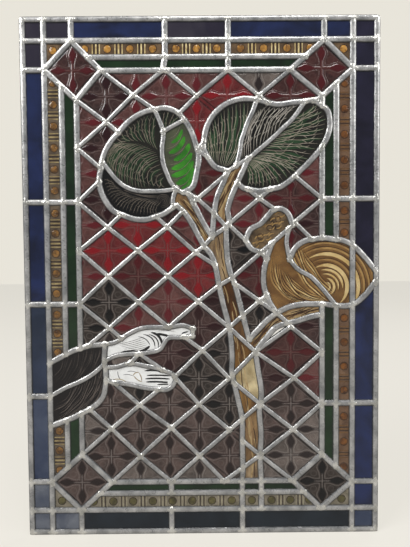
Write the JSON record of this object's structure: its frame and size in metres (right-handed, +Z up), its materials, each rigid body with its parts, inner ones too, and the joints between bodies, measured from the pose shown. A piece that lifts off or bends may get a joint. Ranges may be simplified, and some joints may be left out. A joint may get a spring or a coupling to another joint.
{
  "type": "leaded stained glass panel",
  "caption": "Leaded stained glass panel with a diamond quarry ground, glass borders and a plant, gourd and hands, made to be built into a window opening.",
  "frame": {"origin": "middle of the bottom edge, half way through the lead's depth", "axes": "+Z up the panel, +X to the right seen from the front, -Y out of the painted front face"},
  "size_m": [0.46, 0.0076, 0.672],
  "materials": {
    "lead": "dull grey lead came with brighter solder joints",
    "ruby_glass": "dark ruby cathedral glass with a pressed cross pattern",
    "blue_glass": "deep blue antique glass",
    "green_glass": "dark green glass with scratched leaf veins",
    "bright_green_glass": "bright green glass with scratched leaf veins",
    "gold_glass": "amber glass with brown painted strokes",
    "black_glass": "blackened glass with scratched folds",
    "white_glass": "white glass with black painted lines",
    "brown_glass": "brown and amber glass with painted bark"
  },
  "bodies": {
    "root": {"blue_border_01": "blue_glass", "blue_border_02": "blue_glass", "blue_border_03": "blue_glass", "blue_border_04": "blue_glass", "blue_border_05": "blue_glass", "blue_border_06": "blue_glass", "blue_border_07": "blue_glass", "blue_border_08": "blue_glass", "blue_border_09": "blue_glass", "blue_border_10": "blue_glass", "blue_border_11": "blue_glass", "blue_border_12": "blue_glass", "blue_border_13": "blue_glass", "blue_border_14": "blue_glass", "blue_border_15": "blue_glass", "blue_border_16": "blue_glass", "blue_border_17": "blue_glass", "blue_border_18": "blue_glass", "blue_border_19": "blue_glass", "blue_border_20": "blue_glass", "blue_border_21": "blue_glass", "blue_border_22": "blue_glass", "blue_border_23": "blue_glass", "blue_border_24": "blue_glass", "blue_border_25": "blue_glass", "bottom_left_corner_diamond": "ruby_glass", "bottom_right_corner_diamond": "ruby_glass", "branch": "brown_glass", "branch_end": "brown_glass", "bud": "gold_glass", "fork_of_stalks": "ruby_glass", "gourd_edge": "gold_glass", "gourd_left_lobe": "gold_glass", "gourd_right_lobe": "gold_glass", "lead_network_with_quarries": "lead", "left_leaf_blade": "green_glass", "left_leaf_lit_lobe": "bright_green_glass", "left_leaf_tip": "green_glass", "left_leaf_underside": "green_glass", "left_stalk": "brown_glass", "lower_hand": "white_glass", "lower_sleeve": "black_glass", "right_leaf_left_lobe": "green_glass", "right_leaf_lower_half": "green_glass", "right_leaf_middle": "green_glass", "right_stalk": "brown_glass", "top_left_corner_diamond": "ruby_glass", "top_right_corner_diamond": "ruby_glass", "trunk_1": "brown_glass", "trunk_2": "brown_glass", "trunk_3": "gold_glass", "trunk_4": "gold_glass", "trunk_5": "gold_glass", "trunk_6": "brown_glass", "trunk_7": "brown_glass", "trunk_8": "brown_glass", "upper_hand": "white_glass", "upper_sleeve": "black_glass"}
  },
  "joints": []
}
